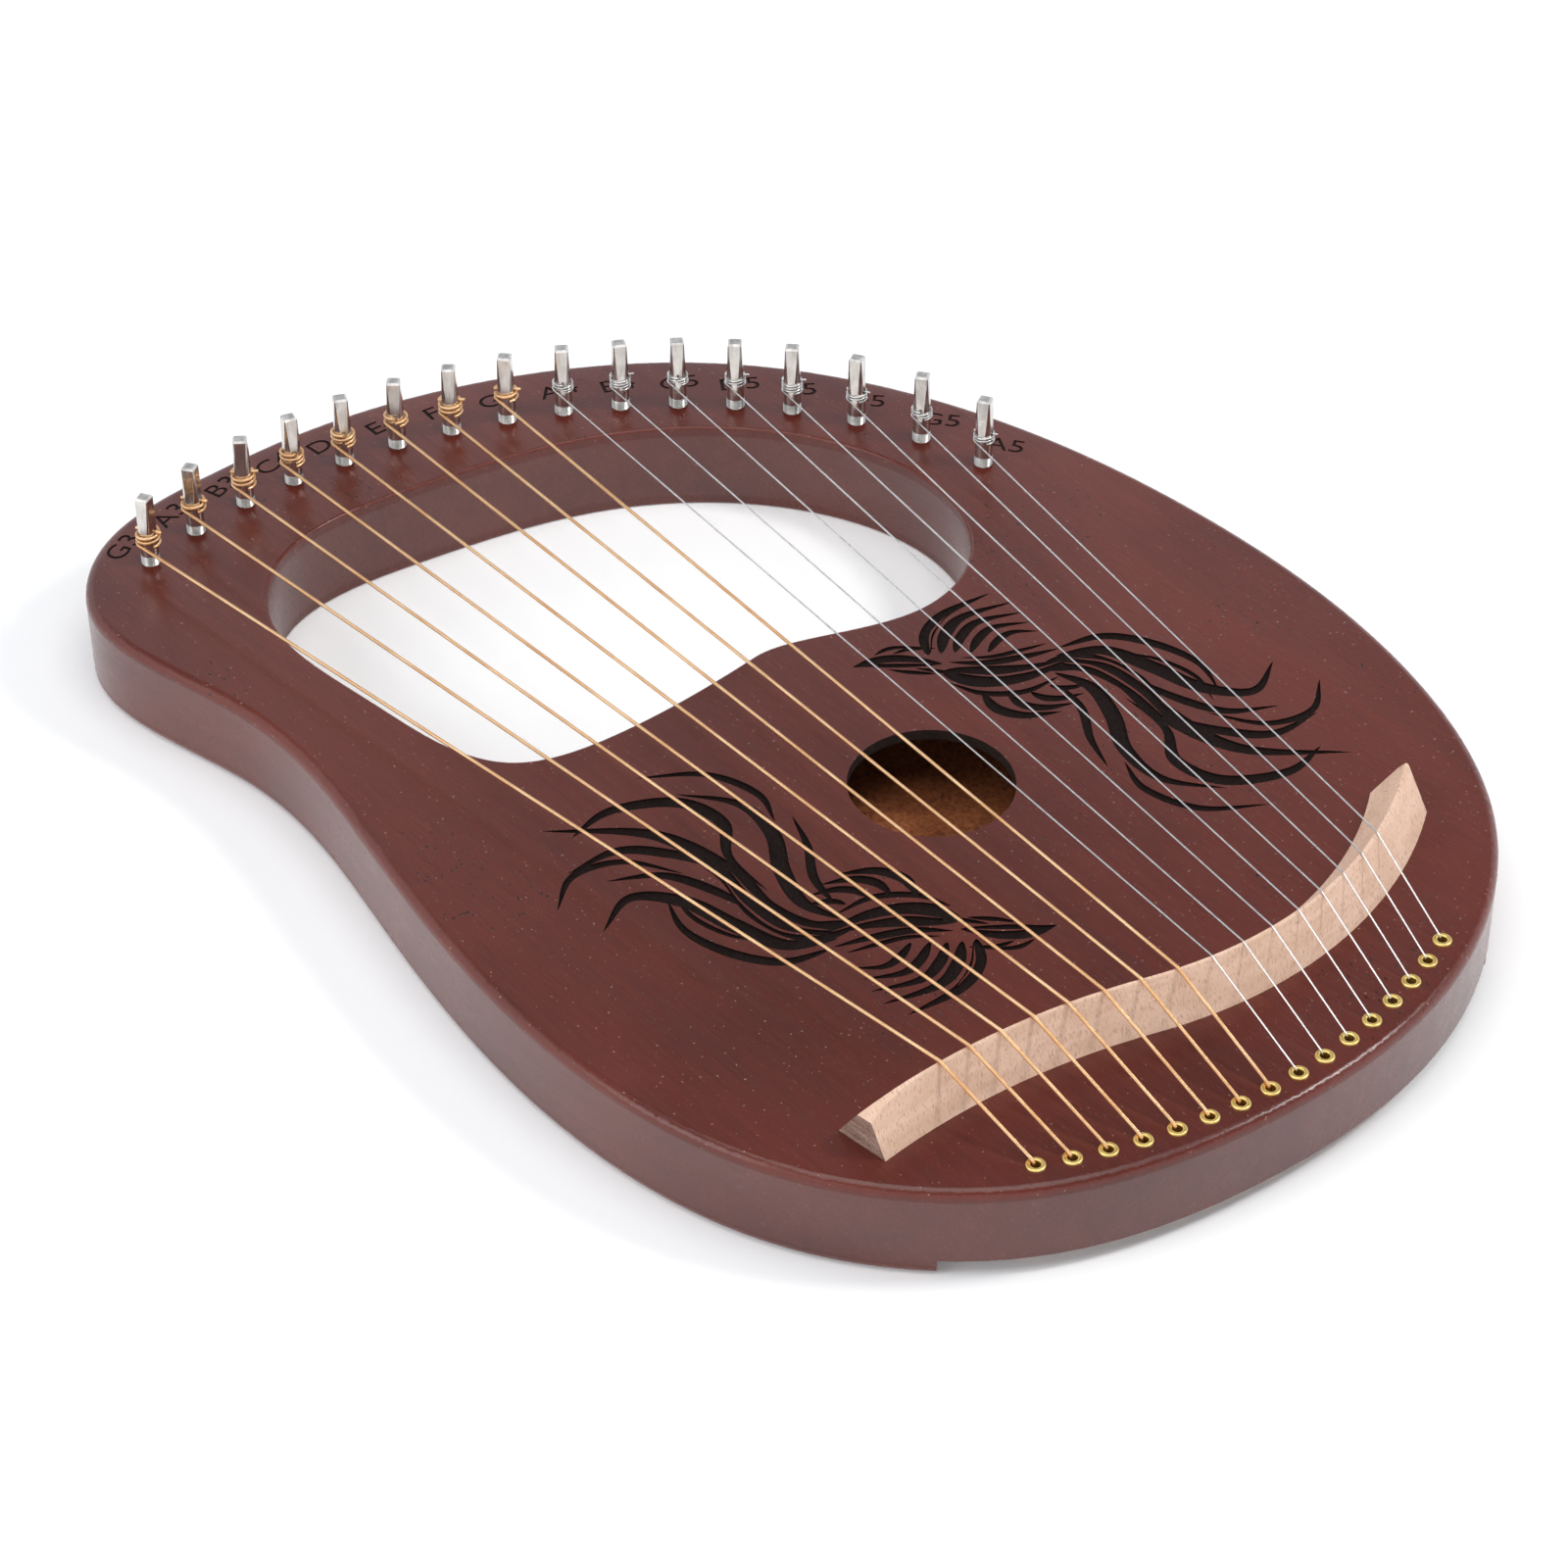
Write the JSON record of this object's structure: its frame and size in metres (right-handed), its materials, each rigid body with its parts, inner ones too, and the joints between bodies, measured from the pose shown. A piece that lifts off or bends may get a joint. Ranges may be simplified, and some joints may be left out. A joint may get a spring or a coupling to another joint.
{
  "type": "lyre harp",
  "caption": "Flat wooden lyre harp with a through window, round sound hole, curved bridge, metal strings and turning nickel tuning pins.",
  "frame": {"origin": "centre of the body's outline, on the back face that it lies on", "axes": "+Y from the tail to the yoke, +Z out of the soundboard, +X from the bass side to the treble side"},
  "size_m": [0.2605, 0.3644, 0.046],
  "materials": {
    "stained_mahogany_top": "satin dark reddish-brown stain over open-pored mahogany",
    "stained_mahogany_frame": "satin dark reddish-brown stain",
    "stained_mahogany_back": "satin dark reddish-brown stain outside, bare fibrous board inside",
    "brace_spruce": "bare softwood",
    "beech": "bare sanded beech",
    "brass": "polished brass",
    "nickel": "nickel plate",
    "copper_wound_string": "phosphor-bronze winding wire",
    "plain_steel_string": "bright drawn steel wire"
  },
  "bodies": {
    "root": {"front_board": "stained_mahogany_top", "core_frame": "stained_mahogany_frame", "back_board": "stained_mahogany_back", "brace_upper": "brace_spruce", "brace_lower": "brace_spruce", "bridge": "beech", "eyelets": "brass", "ball_ends": "brass", "string_g3": "copper_wound_string", "string_a3": "copper_wound_string", "string_b3": "copper_wound_string", "string_c4": "copper_wound_string", "string_d4": "copper_wound_string", "string_e4": "copper_wound_string", "string_f4": "copper_wound_string", "string_g4": "copper_wound_string", "string_a4": "plain_steel_string", "string_b4": "plain_steel_string", "string_c5": "plain_steel_string", "string_d5": "plain_steel_string", "string_e5": "plain_steel_string", "string_f5": "plain_steel_string", "string_g5": "plain_steel_string", "string_a5": "plain_steel_string"},
    "tuner_g3": {"pin_g3": "nickel", "winding_g3": "copper_wound_string"},
    "tuner_a3": {"pin_a3": "nickel", "winding_a3": "copper_wound_string"},
    "tuner_b3": {"pin_b3": "nickel", "winding_b3": "copper_wound_string"},
    "tuner_c4": {"pin_c4": "nickel", "winding_c4": "copper_wound_string"},
    "tuner_d4": {"pin_d4": "nickel", "winding_d4": "copper_wound_string"},
    "tuner_e4": {"pin_e4": "nickel", "winding_e4": "copper_wound_string"},
    "tuner_f4": {"pin_f4": "nickel", "winding_f4": "copper_wound_string"},
    "tuner_g4": {"pin_g4": "nickel", "winding_g4": "copper_wound_string"},
    "tuner_a4": {"pin_a4": "nickel", "winding_a4": "plain_steel_string"},
    "tuner_b4": {"pin_b4": "nickel", "winding_b4": "plain_steel_string"},
    "tuner_c5": {"pin_c5": "nickel", "winding_c5": "plain_steel_string"},
    "tuner_d5": {"pin_d5": "nickel", "winding_d5": "plain_steel_string"},
    "tuner_e5": {"pin_e5": "nickel", "winding_e5": "plain_steel_string"},
    "tuner_f5": {"pin_f5": "nickel", "winding_f5": "plain_steel_string"},
    "tuner_g5": {"pin_g5": "nickel", "winding_g5": "plain_steel_string"},
    "tuner_a5": {"pin_a5": "nickel", "winding_a5": "plain_steel_string"}
  },
  "joints": [
    {"name": "tune_g3", "type": "hinge", "parent": "root", "child": "tuner_g3", "pos_m": [-0.095, 0.157, 0.0254], "axis": [0, 0, 1], "range_deg": [-60, 600]},
    {"name": "tune_a3", "type": "hinge", "parent": "root", "child": "tuner_a3", "pos_m": [-0.07815, 0.16088, 0.0254], "axis": [0, 0, 1], "range_deg": [-60, 600]},
    {"name": "tune_b3", "type": "hinge", "parent": "root", "child": "tuner_b3", "pos_m": [-0.06097, 0.16285, 0.0254], "axis": [0, 0, 1], "range_deg": [-60, 600]},
    {"name": "tune_c4", "type": "hinge", "parent": "root", "child": "tuner_c4", "pos_m": [-0.04518, 0.16301, 0.0254], "axis": [0, 0, 1], "range_deg": [-60, 600]},
    {"name": "tune_d4", "type": "hinge", "parent": "root", "child": "tuner_d4", "pos_m": [-0.02945, 0.16165, 0.0254], "axis": [0, 0, 1], "range_deg": [-60, 600]},
    {"name": "tune_e4", "type": "hinge", "parent": "root", "child": "tuner_e4", "pos_m": [-0.01392, 0.15883, 0.0254], "axis": [0, 0, 1], "range_deg": [-60, 600]},
    {"name": "tune_f4", "type": "hinge", "parent": "root", "child": "tuner_f4", "pos_m": [0.00129, 0.15461, 0.0254], "axis": [0, 0, 1], "range_deg": [-60, 600]},
    {"name": "tune_g4", "type": "hinge", "parent": "root", "child": "tuner_g4", "pos_m": [0.01607, 0.14905, 0.0254], "axis": [0, 0, 1], "range_deg": [-60, 600]},
    {"name": "tune_a4", "type": "hinge", "parent": "root", "child": "tuner_a4", "pos_m": [0.03029, 0.1422, 0.0254], "axis": [0, 0, 1], "range_deg": [-60, 600]},
    {"name": "tune_b4", "type": "hinge", "parent": "root", "child": "tuner_b4", "pos_m": [0.04383, 0.13407, 0.0254], "axis": [0, 0, 1], "range_deg": [-60, 600]},
    {"name": "tune_c5", "type": "hinge", "parent": "root", "child": "tuner_c5", "pos_m": [0.05649, 0.12464, 0.0254], "axis": [0, 0, 1], "range_deg": [-60, 600]},
    {"name": "tune_d5", "type": "hinge", "parent": "root", "child": "tuner_d5", "pos_m": [0.06806, 0.11391, 0.0254], "axis": [0, 0, 1], "range_deg": [-60, 600]},
    {"name": "tune_e5", "type": "hinge", "parent": "root", "child": "tuner_e5", "pos_m": [0.07831, 0.10191, 0.0254], "axis": [0, 0, 1], "range_deg": [-60, 600]},
    {"name": "tune_f5", "type": "hinge", "parent": "root", "child": "tuner_f5", "pos_m": [0.08826, 0.08644, 0.0254], "axis": [0, 0, 1], "range_deg": [-60, 600]},
    {"name": "tune_g5", "type": "hinge", "parent": "root", "child": "tuner_g5", "pos_m": [0.09609, 0.06859, 0.0254], "axis": [0, 0, 1], "range_deg": [-60, 600]},
    {"name": "tune_a5", "type": "hinge", "parent": "root", "child": "tuner_a5", "pos_m": [0.101, 0.049, 0.0254], "axis": [0, 0, 1], "range_deg": [-60, 600]}
  ]
}
